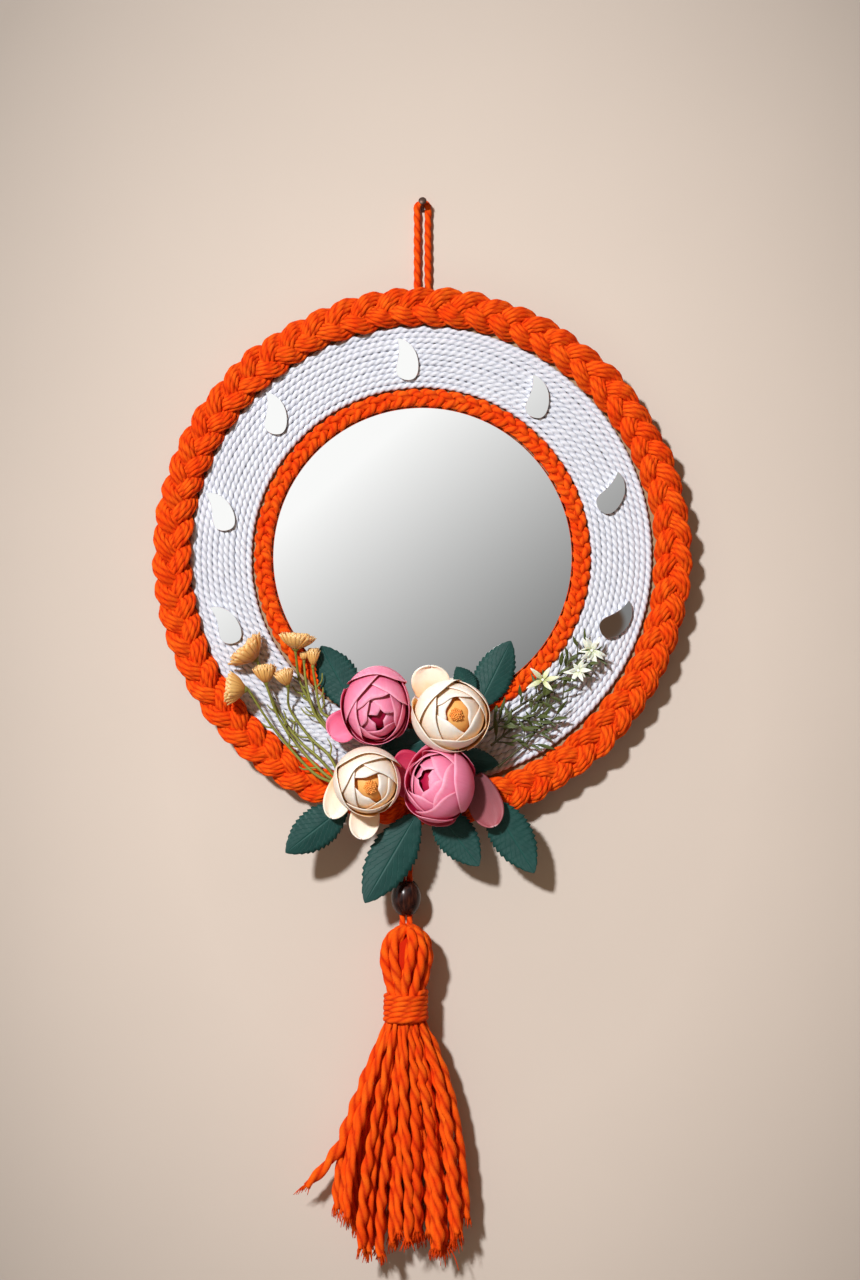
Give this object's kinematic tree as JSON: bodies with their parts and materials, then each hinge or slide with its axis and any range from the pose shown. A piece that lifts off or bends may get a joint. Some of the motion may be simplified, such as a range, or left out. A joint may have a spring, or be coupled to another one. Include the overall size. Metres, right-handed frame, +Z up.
{
  "type": "mirror work wall hanging on a nail",
  "caption": "Round mirror in orange cotton braids and a white cord band with paisley mirrors, cloth flowers, a bead and a tassel, hung by a cord on a nail",
  "frame": {"origin": "the middle of the nail's section in the wall plane", "axes": "+Z up, -Y out of the wall towards the viewer, +X to the viewer's right"},
  "size_m": [0.2691, 0.0515, 0.5338],
  "materials": {
    "board": "plain brown fibreboard, matt",
    "mirror_glass": "silvered flat glass, polished",
    "orange_cotton": "twisted cotton cord, soft and matt",
    "white_cotton": "twisted cotton cord, soft and matt",
    "nail_steel": "dark browned steel",
    "bead_wood": "dark stained and glossy",
    "pink_cloth": "pressed petal cloth, satin",
    "cream_cloth": "pressed petal cloth, satin",
    "leaf_cloth": "pressed leaf cloth, satin",
    "ochre_cloth": "pressed petal cloth, matt",
    "stem_plastic": "moulded stem, matt",
    "pale_cloth": "pressed petal cloth, matt"
  },
  "bodies": {
    "root": {"backing_board": "board", "round_mirror": "mirror_glass", "inner_braid": "orange_cotton", "outer_braid": "orange_cotton", "white_cord_band": "white_cotton", "paisley_mirror_1": "mirror_glass", "paisley_mirror_2": "mirror_glass", "paisley_mirror_3": "mirror_glass", "paisley_mirror_4": "mirror_glass", "paisley_mirror_5": "mirror_glass", "paisley_mirror_6": "mirror_glass", "paisley_mirror_7": "mirror_glass", "nail": "nail_steel", "hanging_cord": "orange_cotton", "tassel_cord_left": "orange_cotton", "tassel_cord_right": "orange_cotton", "bead": "bead_wood", "tassel": "orange_cotton", "tassel_wrap": "orange_cotton", "pink_flower_1": "pink_cloth", "pink_flower_2": "pink_cloth", "cream_flower_1": "cream_cloth", "cream_flower_2": "cream_cloth", "pink_petal_upper_left": "pink_cloth", "pink_petal_left": "pink_cloth", "pink_petal_low": "pink_cloth", "pink_petal_right": "pink_cloth", "cream_petal_back": "cream_cloth", "cream_petal_left": "cream_cloth", "cream_petal_low": "cream_cloth", "leaf_upper_left": "leaf_cloth", "leaf_upper_right": "leaf_cloth", "leaf_upper_small": "leaf_cloth", "leaf_lower_left": "leaf_cloth", "leaf_lower_middle": "leaf_cloth", "leaf_lower_shaded": "leaf_cloth", "leaf_lower_right": "leaf_cloth", "button_flower_1": "ochre_cloth", "button_flower_2": "ochre_cloth", "button_flower_3": "ochre_cloth", "button_flower_4": "ochre_cloth", "button_flower_5": "ochre_cloth", "button_flower_6": "ochre_cloth", "button_bud": "ochre_cloth", "twig_1": "stem_plastic", "twig_2": "stem_plastic", "twig_3": "stem_plastic", "blossom_1": "pale_cloth", "blossom_2": "pale_cloth", "blossom_3": "pale_cloth"}
  },
  "joints": []
}
